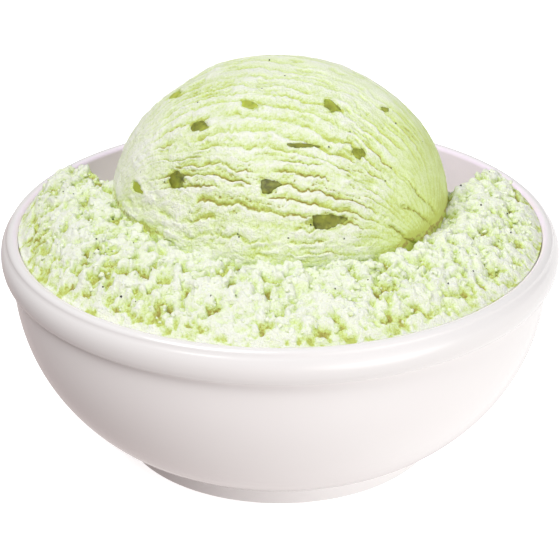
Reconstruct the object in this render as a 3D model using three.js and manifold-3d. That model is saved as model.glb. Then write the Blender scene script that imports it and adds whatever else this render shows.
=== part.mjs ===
// A white glazed bowl heaped with crumbly green ice cream, with one large scooped ball sunk in the heap.
// Millimetres, +Z up. The origin is the centre of the foot ring's underside, and -Y is the front.
import * as THREE from 'three';
import { mergeVertices } from 'three/addons/utils/BufferGeometryUtils.js';
import Module from 'manifold-3d';

const wasm = await Module();
wasm.setup();

// Bowl
const bowlDiameter = 115;
const bowlHeight = 47;
const collarHeight = 6.9;
const collarBulge = 0.5;
const collarStep = 1.7;
const lipInset = 1.2;
const lipRound = 1;
const mouthDiameter = 107.8;
const throatDiameter = 105.2;
const footDiameter = 67.2;
const footHeight = 3.6;
const footRingWidth = 4.6;
const footEdge = 0.7;
const footRecess = 2.2;
const wallThickness = 3.2;
const floorHeight = 6.8;
const floorDiameter = 58;
const bowlSegments = 60;
const bodySteps = 7;
const lipSteps = 4;
const insideSteps = 8;
const insideEnd = 0.9;

// Ball of ice cream: a flattened scoop, less deep below its widest line than above it
const ballCentre = new THREE.Vector3(0, 0, bowlHeight + 5);
const ballRadius = 35.1;
const ballRise = 29.9;
const ballDrop = 26.5;

// The scoop rolled the ball up in layers, which all run from a pole at its left to one at its right
const leftPole = new THREE.Vector3(-34, -6, 2);
const rightPole = new THREE.Vector3(29, -20, -1);
const layerAngle = THREE.MathUtils.degToRad(7.05);
const lowestLayer = THREE.MathUtils.degToRad(-18);
const layerCount = 30;
const crackDepth = 1.25;
const layerWobble = 1.1;
const breakSeed = 21;
const wobbleSeed = 22;
const dentSeed = 23;
const dentDepth = 0.9;
const dentSize = 11;
const stepsBetweenPoles = 20;
const hiddenSteps = 9;

// Each layer is a crack, the lip that overhangs it, and a back that sinks towards the next crack
const layerShape = [
  { part: 0, sink: 1 },
  { part: 0.2, sink: 0.05 },
  { part: 0.65, sink: 0.22 },
];

// Bed of ice cream round the ball: its height above the rim, at the ball and at the wall
const bedInnerRadius = 34;
const bedAtBall = 6.9;
const bedLeftRise = 1.35;
const bedAtWall = -0.3;
const bedCrown = 2.5;
const mounds = [
  { x: -47, y: 10, rise: 1, spread: 6 },
  { x: 46, y: 11, rise: 1.4, spread: 6 },
];

// Behind the ball the bed is scooped low. The edge of that hollow runs from beside the ball, where
// it starts, back to the wall
const bedBehind = -9.5;
const hollowStart = { side: 35.5, back: 3 };
const hollowSlope = 1.25;
const hollowCurl = 10;
const hollowReach = 11;
const hollowBank = 8;
const clumpSize = 6.5;
const clumpRise = 2.8;
const crumbSize = 3.1;
const crumbRise = 1.3;
const clumpMean = 0.78;
const clumpSeed = 11;
const crumbSeed = 12;
const bedSegments = 120;
const bedRings = 10;
const cavitySegments = 48;
const cavityRows = 16;

// Room left between pieces that touch, whose facets cut corners
const gap = 0.5;

// Sliced green bits frozen into the ball: direction from the front towards the right, height on the
// ball, both in degrees, then length, width and turn of the slice
const bits = [
  { round: 17, up: 19, length: 6.4, width: 3.4, turn: -6 },
  { round: -4, up: 34, length: 4.0, width: 2.6, turn: 15 },
  { round: -42, up: 29, length: 3.4, width: 3.0, turn: -50 },
  { round: -61, up: 20, length: 3.2, width: 1.6, turn: 10 },
  { round: -46, up: 51, length: 3.9, width: 2.9, turn: 20 },
  { round: -25, up: 66, length: 3.2, width: 2.0, turn: 0 },
  { round: -98, up: 52, length: 2.7, width: 2.4, turn: 30 },
  { round: 39, up: 64, length: 3.6, width: 2.6, turn: 70 },
  { round: 76, up: 51, length: 2.8, width: 1.7, turn: -20 },
  { round: 37, up: 42, length: 2.6, width: 2.4, turn: 0 },
  { round: 12, up: 49, length: 6.2, width: 1.3, turn: -10 },
  { round: 128, up: 40, length: 4.2, width: 2.8, turn: 25 },
  { round: 165, up: 24, length: 3.2, width: 2.5, turn: -35 },
  { round: -150, up: 47, length: 4.8, width: 2.9, turn: -15 },
];
const bitFace = -0.15;
const bitTaper = 0.3;
const bitThickness = 2.2;
const bitSides = 8;

const { sin, cos, PI } = Math;
const smooth = THREE.MathUtils.smoothstep;

// A repeatable number from 0 to 1 for each corner of a grid of unit cells
function cornerValue(x, y, z, seed) {
  let mixed = Math.imul(x, 374761393) ^ Math.imul(y, 668265263);
  mixed ^= Math.imul(z, 2246822519) ^ Math.imul(seed, 3266489917);
  mixed = Math.imul(mixed ^ (mixed >>> 15), 2246822519);
  mixed = Math.imul(mixed ^ (mixed >>> 13), 3266489917);
  return ((mixed ^ (mixed >>> 16)) >>> 0) / 2 ** 32;
}

// Smooth noise from 0 to 1: the eight corner values round a point, blended
function softNoise(x, y, z, seed) {
  const [x0, y0, z0] = [Math.floor(x), Math.floor(y), Math.floor(z)];
  const [u, v, w] = [smooth(x - x0, 0, 1), smooth(y - y0, 0, 1), smooth(z - z0, 0, 1)];
  let sum = 0;
  for (const [i, j, k] of cellCorners) {
    const weight = (i ? u : 1 - u) * (j ? v : 1 - v) * (k ? w : 1 - w);
    sum += weight * cornerValue(x0 + i, y0 + j, z0 + k, seed);
  }
  return sum;
}
const cellCorners = [0, 1, 2, 3, 4, 5, 6, 7].map((n) => [n & 1, (n >> 1) & 1, n >> 2]);

// Rounded clumps on a plane, each as wide as its cell: 1 on a clump's crown, 0 in the pits between
function clumps(x, y, seed) {
  const [cellX, cellY] = [Math.floor(x), Math.floor(y)];
  let nearest = 1;
  for (let i = cellX - 1; i <= cellX + 1; i++) {
    for (let j = cellY - 1; j <= cellY + 1; j++) {
      const dx = i + cornerValue(i, j, 1, seed) - x;
      const dy = j + cornerValue(i, j, 2, seed) - y;
      nearest = Math.min(nearest, dx * dx + dy * dy);
    }
  }
  return 1 - nearest;
}

// A closed surface from a first point, through rings of equal count, to a last point. It faces out
// when the rings turn anticlockwise, seen from the first point's side. Each cell of the net is cut
// along its shorter diagonal, so that steep banks stay smooth.
function ringedSolid(first, rings, last) {
  const count = rings[0].length;
  const points = [first, ...rings.flat(), last];
  const triangles = [];
  for (let i = 0; i < count; i++) {
    const next = (i + 1) % count;
    triangles.push(0, 1 + i, 1 + next);
    for (let ring = 0; ring < rings.length - 1; ring++) {
      const here = 1 + ring * count;
      const below = here + count;
      const [a, b, c, d] = [here + i, below + i, below + next, here + next];
      if (points[a].distanceTo(points[c]) < points[b].distanceTo(points[d])) {
        triangles.push(a, b, c, a, c, d);
      } else {
        triangles.push(a, b, d, b, c, d);
      }
    }
    const lastRing = 1 + (rings.length - 1) * count;
    triangles.push(lastRing + next, lastRing + i, points.length - 1);
  }
  const geometry = new THREE.BufferGeometry().setFromPoints(points);
  geometry.setIndex(triangles);
  return geometry;
}

function toSolid(geometry) {
  const bare = geometry.clone();
  bare.deleteAttribute('normal');
  bare.deleteAttribute('uv');
  const merged = mergeVertices(bare, 1e-4);
  const vertProperties = new Float32Array(merged.attributes.position.array);
  const triVerts = new Uint32Array(merged.index.array);
  return new wasm.Manifold(new wasm.Mesh({ numProp: 3, vertProperties, triVerts }));
}

function toGeometry(solid) {
  const mesh = solid.getMesh();
  const geometry = new THREE.BufferGeometry();
  geometry.setAttribute('position', new THREE.BufferAttribute(mesh.vertProperties, 3));
  geometry.setIndex(new THREE.BufferAttribute(mesh.triVerts, 1));
  return geometry;
}

// Bowl ------------------------------------------------------------------------------------------

// The wall below the collar, as one curve from the collar down to the foot
const bodyRadius = bowlDiameter / 2 - collarBulge - collarStep;
const bodyTop = bowlHeight - collarHeight;
const footRadius = footDiameter / 2;
const bodyCurve = new THREE.CubicBezierCurve(
  new THREE.Vector2(bodyRadius, bodyTop),
  new THREE.Vector2(bodyRadius + 0.4, bodyTop * 0.48),
  new THREE.Vector2(footRadius + 9, footHeight + 4),
  new THREE.Vector2(footRadius + 0.6, footHeight),
);

// The inside of the wall, moved in from the curve by an inset, from below the throat to the floor
function insideProfile(inset, stride) {
  const points = [];
  for (let i = stride; i <= insideSteps; i += stride) {
    const along = (insideEnd * i) / insideSteps;
    const tangent = bodyCurve.getTangent(along);
    const inward = new THREE.Vector2(tangent.y, -tangent.x);
    points.push(bodyCurve.getPoint(along).addScaledVector(inward, wallThickness + inset));
  }
  return points;
}

// Radius of the hollow at a height, between its throat and its mouth
function throatRadius(z) {
  const rise = (z - bodyTop) / (bowlHeight - lipRound - bodyTop);
  return THREE.MathUtils.lerp(throatDiameter, mouthDiameter, rise) / 2;
}

function makeBowl() {
  const footInside = footRadius - footRingWidth;
  const outerRadius = bowlDiameter / 2;
  const profile = [
    [0, footRecess],
    [footInside - footEdge, footRecess],
    [footInside, 0],
    [footRadius - footEdge, 0],
    [footRadius, footEdge],
    [footRadius - 0.2, footHeight],
  ];
  for (let i = bodySteps; i >= 0; i--) {
    profile.push(bodyCurve.getPoint(i / bodySteps).toArray());
  }

  // The collar is a slightly bulging band, and its lip is half of an ellipse
  profile.push([outerRadius - collarBulge, bodyTop]);
  profile.push([outerRadius, bowlHeight - collarHeight / 2]);
  const lipMiddle = (outerRadius - lipInset + mouthDiameter / 2) / 2;
  const lipHalf = lipMiddle - mouthDiameter / 2;
  for (let i = 0; i <= lipSteps; i++) {
    const turn = (PI * i) / lipSteps;
    const height = bowlHeight + lipRound * (sin(turn) - 1);
    profile.push([lipMiddle + lipHalf * cos(turn), height]);
  }
  profile.push([throatDiameter / 2, bodyTop]);
  for (const point of insideProfile(0, 1)) {
    profile.push(point.toArray());
  }
  profile.push([floorDiameter / 2, floorHeight]);
  profile.push([0, floorHeight]);
  const points = profile.map(([radius, height]) => new THREE.Vector2(radius, height));
  return new THREE.LatheGeometry(points, bowlSegments).rotateX(PI / 2);
}

// Bed -------------------------------------------------------------------------------------------

// Height of the bed's top: it falls in a convex curve from the ball to the wall, drops behind the
// ball, and carries the two mounds and the clumps
function bedHeight(x, y) {
  const radius = Math.hypot(x, y);
  const side = x / Math.max(radius, 1);
  const atBall = bedAtBall - bedLeftRise * side;
  const width = mouthDiameter / 2 - gap - bedInnerRadius;
  const out = THREE.MathUtils.clamp((radius - bedInnerRadius) / width, 0, 1);
  let height = bedAtWall + (atBall - bedAtWall) * (1 - out ** bedCrown);
  for (const mound of mounds) {
    const distance = Math.hypot(x - mound.x, y - mound.y) / mound.spread;
    height += mound.rise * Math.exp(-distance * distance / 2);
  }
  height = THREE.MathUtils.lerp(height, bedBehind, hollowShare(x, y));
  const roughness = 1 - 0.65 * smooth(out, 0.75, 1);
  const clump = clumps(x / clumpSize, y / clumpSize, clumpSeed) - clumpMean;
  const crumb = clumps(x / crumbSize, y / crumbSize, crumbSeed) - clumpMean;
  return bowlHeight + height + roughness * (clumpRise * clump + crumbRise * crumb);
}

// 1 in the low hollow behind the ball, 0 at the front and sides
function hollowShare(x, y) {
  const side = Math.max(Math.abs(x) - hollowStart.side, 0);
  const edge = hollowStart.back + hollowSlope * side + hollowCurl * (side / hollowReach) ** 4;
  return smooth(y - edge, 0, hollowBank);
}

function ringAt(count, pointAt) {
  return Array.from({ length: count }, (_, i) => pointAt((2 * PI * i) / count));
}

// The bed fills the bowl from its floor to bedHeight, with a cavity that the ball sits in
function makeBed() {
  const rings = [];
  for (let ring = 0; ring < bedRings; ring++) {
    const out = ring / (bedRings - 1);
    rings.push(ringAt(bedSegments, (angle) => {
      const edge = wallContact(angle);
      const low = hollowShare(ballRadius * cos(angle), ballRadius * sin(angle));
      const inner = ballRadius - THREE.MathUtils.lerp(2, 9, low);
      const radius = THREE.MathUtils.lerp(inner, edge.radius, out);
      const [x, y] = [radius * cos(angle), radius * sin(angle)];
      return new THREE.Vector3(x, y, out < 1 ? bedHeight(x, y) : edge.height);
    }));
  }
  const floor = floorHeight + gap;
  const wall = insideProfile(gap, 2);
  wall.push(new THREE.Vector2(floorDiameter / 2, floor));
  for (const { x: radius, y: height } of wall) {
    rings.push(ringAt(bedSegments, (angle) => {
      return new THREE.Vector3(radius * cos(angle), radius * sin(angle), height);
    }));
  }
  const top = new THREE.Vector3(0, 0, ballCentre.z);
  const body = toSolid(ringedSolid(top, rings, new THREE.Vector3(0, 0, floor)));
  return toGeometry(body.subtract(toSolid(cavityForm())));
}

// Where the bed's top meets the wall in one direction
function wallContact(angle) {
  let radius = mouthDiameter / 2 - gap;
  let height = bowlHeight;
  for (let pass = 0; pass < 4; pass++) {
    height = Math.min(bedHeight(radius * cos(angle), radius * sin(angle)), bowlHeight - lipRound / 2);
    radius = Math.min(throatRadius(height), mouthDiameter / 2) - gap;
  }
  return { radius, height };
}

// Ball ------------------------------------------------------------------------------------------

// The ball's smooth outer form, grown all round so that the ball sits in its cavity with room
function cavityForm() {
  const form = new THREE.SphereGeometry(1, cavitySegments, cavityRows).rotateX(PI / 2);
  const position = form.attributes.position;
  const radius = ballRadius + gap;
  for (let i = 0; i < position.count; i++) {
    const up = position.getZ(i);
    const depth = (up > 0 ? ballRise : ballDrop) + gap;
    position.setXYZ(i, position.getX(i) * radius, position.getY(i) * radius, up * depth);
  }
  return form.translate(ballCentre.x, ballCentre.y, ballCentre.z);
}

// The layers fan out round the line between the two poles
const poleLine = rightPole.clone().sub(leftPole).normalize();
const fanCentre = leftPole.clone().add(rightPole).multiplyScalar(0.5);
const fanFront = new THREE.Vector3(0, 0, 1).cross(poleLine).negate().normalize();
const fanUp = fanFront.clone().cross(poleLine).normalize();

// A point of the smooth form, relative to the ball's centre, in a direction from the fan's centre
function formPoint(turn, fromLeftPole) {
  const out = fanFront.clone().multiplyScalar(cos(turn)).addScaledVector(fanUp, sin(turn));
  const ray = poleLine.clone().multiplyScalar(-cos(fromLeftPole));
  ray.addScaledVector(out, sin(fromLeftPole));
  const above = alongRay(ray, ballRise);
  return above.z >= 0 ? above : alongRay(ray, ballDrop);
}

// Where a ray from the fan's centre leaves an ellipsoid of the ball's radius and this depth
function alongRay(ray, depth) {
  const size = new THREE.Vector3(ballRadius, ballRadius, depth);
  const step = ray.clone().divide(size);
  const start = fanCentre.clone().divide(size);
  const a = step.dot(step);
  const b = step.dot(start);
  const c = start.dot(start) - 1;
  return fanCentre.clone().addScaledVector(ray, (Math.sqrt(b * b - a * c) - b) / a);
}

function formNormal(point) {
  const depth = point.z >= 0 ? ballRise : ballDrop;
  const square = new THREE.Vector3(ballRadius ** 2, ballRadius ** 2, depth ** 2);
  return point.clone().divide(square).normalize();
}

function makeBall() {
  const rings = [];
  for (let step = 1; step < stepsBetweenPoles; step++) {
    const fromLeftPole = (PI * step) / stepsBetweenPoles;
    const shallow = smooth(sin(fromLeftPole), 0.1, 0.6);
    const ring = [];
    for (let layer = 0; layer < layerCount; layer++) {
      const broken = smooth(softNoise(step * 0.45, layer * 0.8, 0, breakSeed), 0.3, 0.65);
      const wobble = layerWobble * (softNoise(step * 0.3, layer * 0.4, 0, wobbleSeed) - 0.5);
      for (const { part, sink } of layerShape) {
        const turn = lowestLayer + layerAngle * (layer + part + wobble);
        ring.push(sunkPoint(turn, fromLeftPole, crackDepth * shallow * sink * (0.15 + broken)));
      }
    }
    const lastTurn = lowestLayer + layerAngle * layerCount;
    for (let i = 0; i < hiddenSteps; i++) {
      const turn = lastTurn + ((2 * PI + lowestLayer - lastTurn) * i) / hiddenSteps;
      ring.push(sunkPoint(turn, fromLeftPole, 0));
    }
    rings.push(ring);
  }
  let ball = toSolid(ringedSolid(polePoint(0), rings, polePoint(PI)));
  for (const bit of bits) {
    ball = ball.add(toSolid(makeBit(bit)));
  }
  return toGeometry(ball);
}

function polePoint(fromLeftPole) {
  return sunkPoint(0, fromLeftPole, 0);
}

// A point of the ball, sunk below the smooth form by a depth and by the form's own slow dents
function sunkPoint(turn, fromLeftPole, depth) {
  const point = formPoint(turn, fromLeftPole);
  const cell = point.clone().divideScalar(dentSize);
  const dent = dentDepth * softNoise(cell.x, cell.y, cell.z, dentSeed);
  const shown = smooth(point.z, -16, -8);
  return point.clone().addScaledVector(formNormal(point), -shown * (depth + dent)).add(ballCentre);
}

// A slice with a blunt and a pointed end, set flat in the ball's surface
function makeBit({ round, up, length, width, turn }) {
  const outline = new THREE.Shape();
  for (let side = 0; side < bitSides; side++) {
    const angle = (2 * PI * side) / bitSides;
    const taper = 1 - bitTaper * cos(angle);
    outline[side ? 'lineTo' : 'moveTo']((length / 2) * cos(angle), (width / 2) * taper * sin(angle));
  }
  const slice = new THREE.ExtrudeGeometry(outline, { depth: bitThickness, bevelEnabled: false });
  slice.translate(0, 0, bitFace - bitThickness).rotateZ(THREE.MathUtils.degToRad(turn));

  const [across, rise] = [THREE.MathUtils.degToRad(round), THREE.MathUtils.degToRad(up)];
  const place = new THREE.Vector3(
    ballRadius * cos(rise) * sin(across),
    -ballRadius * cos(rise) * cos(across),
    ballRise * sin(rise),
  );
  const outward = formNormal(place);
  const right = new THREE.Vector3(0, 0, 1).cross(outward).normalize();
  const upward = outward.clone().cross(right);
  place.add(ballCentre);
  return slice.applyMatrix4(new THREE.Matrix4().makeBasis(right, upward, outward).setPosition(place));
}

// The whole thing -------------------------------------------------------------------------------

const glaze = new THREE.MeshStandardMaterial({ color: 0xf7f4f3, roughness: 0.12, metalness: 0 });
const iceCream = new THREE.MeshStandardMaterial({ color: 0xdcefb4, roughness: 0.7, metalness: 0 });

function piece(name, geometry, material) {
  const mesh = new THREE.Mesh(geometry, material);
  mesh.name = name;
  return mesh;
}

const group = new THREE.Group();
group.add(piece('bowl', makeBowl(), glaze));
group.add(piece('ice_cream_bed', makeBed(), iceCream));
group.add(piece('scoop_ball', makeBall(), iceCream));

export default group;
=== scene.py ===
from types import SimpleNamespace

import bpy
import numpy as np
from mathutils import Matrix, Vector


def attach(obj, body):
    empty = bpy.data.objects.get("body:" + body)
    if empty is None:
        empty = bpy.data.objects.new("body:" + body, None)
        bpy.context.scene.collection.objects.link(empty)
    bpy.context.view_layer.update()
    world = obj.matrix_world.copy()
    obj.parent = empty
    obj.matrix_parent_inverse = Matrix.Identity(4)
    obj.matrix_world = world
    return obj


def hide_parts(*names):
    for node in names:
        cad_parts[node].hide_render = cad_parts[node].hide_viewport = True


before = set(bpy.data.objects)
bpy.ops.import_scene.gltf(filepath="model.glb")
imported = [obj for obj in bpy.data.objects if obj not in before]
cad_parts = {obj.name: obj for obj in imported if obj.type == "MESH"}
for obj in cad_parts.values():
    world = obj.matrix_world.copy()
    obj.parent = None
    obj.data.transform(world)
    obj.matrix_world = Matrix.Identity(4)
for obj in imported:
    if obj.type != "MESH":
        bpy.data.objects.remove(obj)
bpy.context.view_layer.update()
mm = 0.001


def cornerValue(x, y, z, seed):
    # a repeatable value from 0 to 1 for each corner of a grid of unit cells: the corner's whole
    # numbers are multiplied by large odd ones, and the bits are mixed
    with np.errstate(over="ignore"):
        x, y, z = [np.asarray(v).astype(np.int64).astype(np.uint32) for v in (x, y, z)]
        mixed = x * np.uint32(374761393) ^ y * np.uint32(668265263)
        mixed = mixed ^ z * np.uint32(2246822519) ^ np.uint32(seed * 3266489917 % 2**32)
        mixed = (mixed ^ mixed >> np.uint32(15)) * np.uint32(2246822519)
        mixed = (mixed ^ mixed >> np.uint32(13)) * np.uint32(3266489917)
        return (mixed ^ mixed >> np.uint32(16)) / 2**32


def smooth(value, low, high):
    # 0 below low, 1 above high, and an S between them
    share = np.clip((value - low) / (high - low), 0, 1)
    return share * share * (3 - 2 * share)


def lerp(a, b, share):
    # from a to b in a straight line, as share goes from 0 to 1
    return a + (b - a) * share


def bell(value, width):
    # 1 at zero, and a bell curve of this width on both sides
    return np.exp(-((value / width) ** 2))


def unevenBell(value, shape):
    # a bell curve with one width over zero and another under it
    return bell(value, np.where(value > 0, shape["over"], shape["under"]))


def softNoise(x, y, z, seed):
    # smooth noise from 0 to 1: the eight corner values round a point, blended by an S curve
    x, y, z = np.broadcast_arrays(*[np.asarray(v, float) for v in (x, y, z)])
    x0, y0, z0 = np.floor(x), np.floor(y), np.floor(z)
    u, v, w = smooth(x - x0, 0, 1), smooth(y - y0, 0, 1), smooth(z - z0, 0, 1)
    total = 0
    for i in (0, 1):
        for j in (0, 1):
            for k in (0, 1):
                weight = (u if i else 1 - u) * (v if j else 1 - v) * (w if k else 1 - w)
                total = total + weight * cornerValue(x0 + i, y0 + j, z0 + k, seed)
    return total


def roughNoise(points, size, octaves, seed):
    # soft noise at a size, and at half the size and half the strength again for each octave, 0 to 1
    total, reach = 0, 0
    for octave in range(octaves):
        x, y, z = np.moveaxis(points, -1, 0) * 2**octave / size
        total = total + softNoise(x, y, z, seed + octave) * 0.5**octave
        reach += 0.5**octave
    return total / reach


def clumps(x, y, seed):
    # rounded clumps on a plane, from the squared distance to the nearest of one point placed at random
    # in each unit cell: 1 on a crown, 0 in the pits between
    cellX, cellY = np.floor(x), np.floor(y)
    nearest = np.ones(x.shape)
    for i in (-1, 0, 1):
        for j in (-1, 0, 1):
            dx = cellX + i + cornerValue(cellX + i, cellY + j, 1, seed) - x
            dy = cellY + j + cornerValue(cellX + i, cellY + j, 2, seed) - y
            nearest = np.minimum(nearest, dx * dx + dy * dy)
    return 1 - nearest


def makeMesh(name, points, faces, material, tints=None):
    # points in millimetres, and faces as arrays of four or three corners each
    mesh = bpy.data.meshes.new(name)
    mesh.vertices.add(len(points))
    mesh.vertices.foreach_set("co", (points * mm).astype(np.float32).ravel())
    corners = np.concatenate([f.ravel() for f in faces])
    counts = np.concatenate([np.full(len(f), f.shape[1]) for f in faces])
    mesh.loops.add(len(corners))
    mesh.loops.foreach_set("vertex_index", corners.astype(np.int32))
    mesh.polygons.add(len(counts))
    starts = np.concatenate([[0], np.cumsum(counts)[:-1]])
    mesh.polygons.foreach_set("loop_start", starts.astype(np.int32))
    mesh.update(calc_edges=True)
    for tint, values in (tints or {}).items():
        layer = mesh.attributes.new(tint, "FLOAT", "POINT")
        layer.data.foreach_set("value", np.asarray(values, np.float32).ravel())
    mesh.shade_smooth()
    mesh.materials.append(material)
    piece = bpy.data.objects.new(name, mesh)
    bpy.context.scene.collection.objects.link(piece)
    print("made", name, "with", int(np.sum(counts - 2)), "triangles")
    return piece


def netFaces(rings, count):
    # faces of a closed net: a first point, rings of equal count, and a last point. It faces out when
    # the rings turn anticlockwise, seen from the first point's side
    ring = 1 + np.arange(rings - 1)[:, None] * count
    here = np.arange(count)[None, :]
    after = (here + 1) % count
    net = np.stack([ring + here, ring + count + here, ring + count + after, ring + after], -1)
    last = 1 + (rings - 1) * count
    first = np.stack([0 * here[0], 1 + here[0], 1 + after[0]], -1)
    end = np.stack([last + after[0], last + here[0], 0 * here[0] + last + count], -1)
    return [net.reshape(-1, 4), first, end]


class Wire:
    # one output of a node, for use in sums: each operator adds its Math node
    def __init__(self, board, socket):
        self.board = board
        self.socket = socket

    def __add__(self, other):
        return self.board.math("ADD", self, other)

    def __sub__(self, other):
        return self.board.math("SUBTRACT", self, other)

    def __rsub__(self, other):
        return self.board.math("SUBTRACT", other, self)

    def __mul__(self, other):
        return self.board.math("MULTIPLY", self, other)

    __radd__ = __add__
    __rmul__ = __mul__


class Board:
    # the node tree of one material or world
    def __init__(self, owner):
        owner.use_nodes = True
        self.owner = owner
        self.tree = owner.node_tree

    def node(self, kind, settings=None, values=None, output=0):
        made = self.tree.nodes.new(kind)
        for setting, value in (settings or {}).items():
            if setting == "stops":
                while len(made.color_ramp.elements) < len(value):
                    made.color_ramp.elements.new(1)
                for stop, (position, colour) in zip(made.color_ramp.elements, value):
                    stop.position = position
                    stop.color = colour
            else:
                setattr(made, setting, value)
        self.fill(made, values or {})
        return Wire(self, made.outputs[output])

    def fill(self, made, values):
        for socket, value in values.items():
            if isinstance(value, Wire):
                self.tree.links.new(value.socket, made.inputs[socket])
            else:
                made.inputs[socket].default_value = value

    def math(self, operation, a, b):
        return self.node("ShaderNodeMath", {"operation": operation}, {0: a, 1: b})

    def clamp(self, value, low, high):
        # 0 at low and 1 at high, with straight lines between
        sockets = {"Value": value, "From Min": low, "From Max": high}
        return self.node("ShaderNodeMapRange", {"clamp": True}, sockets)

    def finish(self, last, values):
        # fill the tree's last node, and give back the material or world
        self.fill(self.tree.nodes[last], values)
        return self.owner

    def ramp(self, value, stops):
        return self.node("ShaderNodeValToRGB", {"stops": stops}, {0: value})

    def mix(self, share, a, b):
        settings = {"data_type": "RGBA", "clamp_factor": True}
        return self.node("ShaderNodeMix", settings, {0: share, 6: a, 7: b}, 2)

    def noise(self, place, size, detail, roughness=0.5):
        sockets = {"Vector": place, "Scale": 1 / (size * mm), "Detail": detail, "Roughness": roughness}
        return self.node("ShaderNodeTexNoise", {}, sockets, "Fac")

    def tint(self, name):
        return self.node("ShaderNodeAttribute", {"attribute_name": name}, {}, "Fac")

    def place(self):
        return self.node("ShaderNodeTexCoord", {}, {}, "Object")

    def bump(self, height, depth, strength=1):
        sockets = {"Height": height, "Distance": depth * mm, "Strength": strength}
        return self.node("ShaderNodeBump", {}, sockets)


def tone(red, green, blue):
    # a colour as a screen shows it, from 0 to 255, to linear light
    shown = np.array([red, green, blue]) / 255
    linear = np.where(shown < 0.04045, shown / 12.92, ((shown + 0.055) / 1.055) ** 2.4)
    return (*linear, 1)


iceCreamLook = {
    "milk": tone(247, 252, 236),
    "green": tone(236, 247, 208),
    "lime": tone(216, 233, 150),
    "deep": tone(200, 212, 108),
    "olive": tone(172, 161, 82),
    "grain": 0.5,
    "grainDepth": 0.18,
    "cloud": 7,
    "roughness": 0.6,
    "scatter": 0.22,
    "scatterReach": 0.6,
}


def makeIceCream():
    # milky where the lime attribute is low, then green, lime and deep lime as it rises, and olive down in
    # the cracks: the lime attribute carries the ice cream's own tone and painted shade in hollows, the
    # pit attribute painted shade in cracks; the grit attribute says how grainy it is
    look = iceCreamLook
    board = Board(bpy.data.materials.new("green_ice_cream"))
    place = board.place()
    grit = board.tint("grit")
    grain = board.clamp(board.noise(place, look["grain"], 2, 0.7), 0.34, 0.66)
    cloud = board.noise(place, look["cloud"], 2)
    # painted shade: the fine grain's low spots limier, on top of the lime attribute and random clouds of
    # tone
    low = board.tint("lime") + (0.5 - grain) * grit * 0.4 + (cloud - 0.5) * 0.4
    stops = ((0, look["milk"]), (0.38, look["green"]), (0.75, look["lime"]), (1, look["deep"]))
    # painted shade: olive where the pit attribute is high and in the fine grain's low spots
    dark = board.clamp(board.tint("pit") + (0.5 - grain) * 0.6, 0.25, 0.85)
    return board.finish("Principled BSDF", {
        "Base Color": board.mix(dark, board.ramp(low, stops), look["olive"]),
        "Roughness": look["roughness"] + (grain - 0.5) * 0.2,
        "Normal": board.bump(grain * grit, look["grainDepth"]),
        "Subsurface Weight": look["scatter"],
        "Subsurface Radius": (1.0, 1.0, 0.6),
        "Subsurface Scale": look["scatterReach"] * mm,
        "Specular IOR Level": 0.3,
    })


glazeLook = {
    "white": tone(245, 243, 242),
    "shade": tone(241, 238, 237),
    "inside": tone(248, 234, 252),
    "collar": tone(236, 234, 233),
    "cloudSize": 30,
    "rippleSize": 9,
    "rippleDepth": 0.05,
    "roughness": 0.12,
    "coat": 0.4,
    "coatRoughness": 0.05,
}


def makeGlaze():
    # a thick white glaze with slow clouds in its white and a faint ripple in its gloss; a painted violet
    # tint inside against the green light bounced from the ice cream, and painted shade makes the collar
    # greyer
    look = glazeLook
    board = Board(bpy.data.materials.new("white_glaze"))
    place = board.place()
    cloud = board.noise(place, look["cloudSize"], 3)
    ripple = board.noise(place, look["rippleSize"], 2)
    outside = board.mix(cloud, look["white"], look["shade"])
    # painted shade: the collar, which faces the key light, greyer
    outside = board.mix(board.tint("collar"), outside, look["collar"])
    return board.finish("Principled BSDF", {
        # painted tint inside, violet against the green light bounced from the ice cream
        "Base Color": board.mix(board.tint("inside"), outside, look["inside"]),
        "Roughness": look["roughness"] + cloud * 0.08,
        "Normal": board.bump(ripple, look["rippleDepth"], 0.4),
        "Coat Weight": look["coat"],
        "Coat Roughness": look["coatRoughness"],
    })


bitLook = {
    "olive": tone(130, 136, 38),
    "green": tone(192, 208, 78),
    "dark": tone(84, 88, 24),
    "cloud": 1.5,
    "bumpDepth": 0.25,
    "roughness": 0.4,
    "scatter": 0.15,
    "scatterReach": 0.6,
}


def makeBitSkin():
    # a frozen slice of something green: flesh with darker clouds, and painted shade darkening its edge
    look = bitLook
    board = Board(bpy.data.materials.new("green_bit"))
    place = board.place()
    cloud = board.noise(place, look["cloud"], 3, 0.65)
    ripe = board.clamp(board.noise(place, 2 * look["cloud"], 1), 0.4, 0.6)
    age = board.tint("age")
    flesh = board.mix(age + (ripe - 0.5) * 0.5, look["olive"], look["green"])
    # painted shade: darker along the edge attribute
    darker = board.clamp(cloud + board.tint("edge") * 0.12 - age * 0.2, 0.42, 0.72)
    return board.finish("Principled BSDF", {
        "Base Color": board.mix(darker, flesh, look["dark"]),
        "Roughness": look["roughness"] + cloud * 0.2,
        "Normal": board.bump(cloud, look["bumpDepth"], 0.6),
        "Subsurface Weight": look["scatter"],
        "Subsurface Scale": look["scatterReach"] * mm,
    })


speckLook = {"dark": tone(34, 36, 26), "pale": tone(66, 66, 44), "cloud": 0.3, "roughness": 0.5}


def makeSpeckSkin():
    # dark, with slightly paler clouds
    look = speckLook
    board = Board(bpy.data.materials.new("dark_speck"))
    cloud = board.noise(board.place(), look["cloud"], 2)
    return board.finish("Principled BSDF", {
        "Base Color": board.mix(cloud, look["dark"], look["pale"]),
        "Roughness": look["roughness"] + cloud * 0.2,
    })


glaze = makeGlaze()
iceCream = makeIceCream()
bitSkin = makeBitSkin()
speckSkin = makeSpeckSkin()
print("materials done")

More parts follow.
